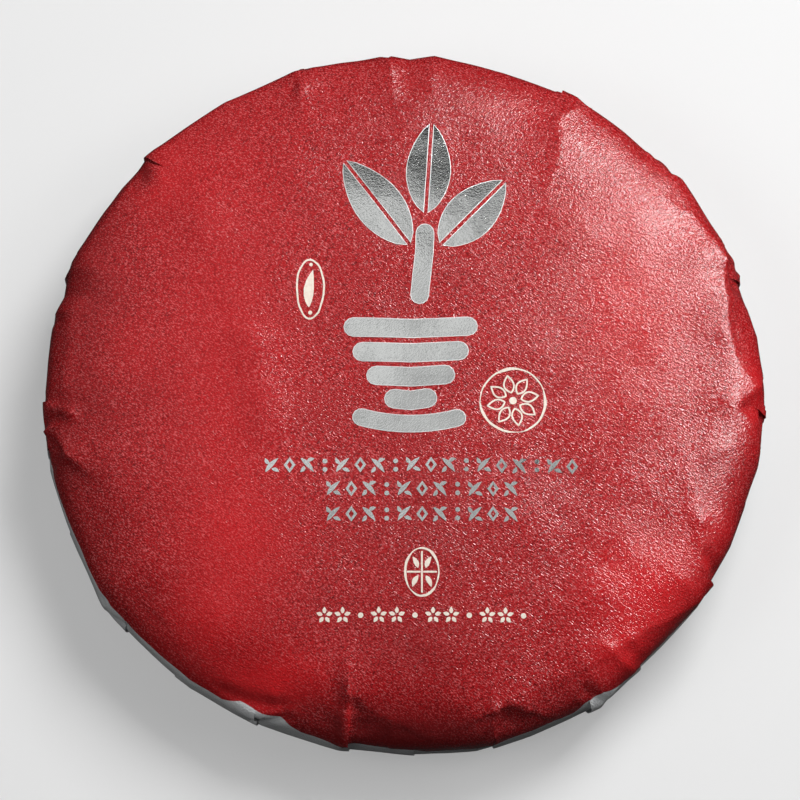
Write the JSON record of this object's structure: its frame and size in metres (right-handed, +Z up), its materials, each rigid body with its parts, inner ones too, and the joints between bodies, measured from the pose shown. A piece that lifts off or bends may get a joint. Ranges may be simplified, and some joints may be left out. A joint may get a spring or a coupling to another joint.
{
  "type": "paper-wrapped black tea cake",
  "caption": "Flat round cake of pressed black tea in one sheet of red-printed white paper, pleated over the rim and tucked under the base, with a silver foil motif on top.",
  "frame": {"origin": "on the surface that the cake rests on, under the middle of its outline", "axes": "+Z up through the printed crown; -Y is the side nearest the viewer of the print, and +X is its right"},
  "size_m": [0.106, 0.1048, 0.0202],
  "materials": {
    "red_paper": "satin, fine pearly grain",
    "white_paper": "matt, unprinted",
    "silver_foil": "hot-stamped foil, crinkled",
    "cream_ink": "printed line, satin"
  },
  "bodies": {
    "root": {"wrapped_tea_cake": "red_paper"}
  },
  "joints": []
}
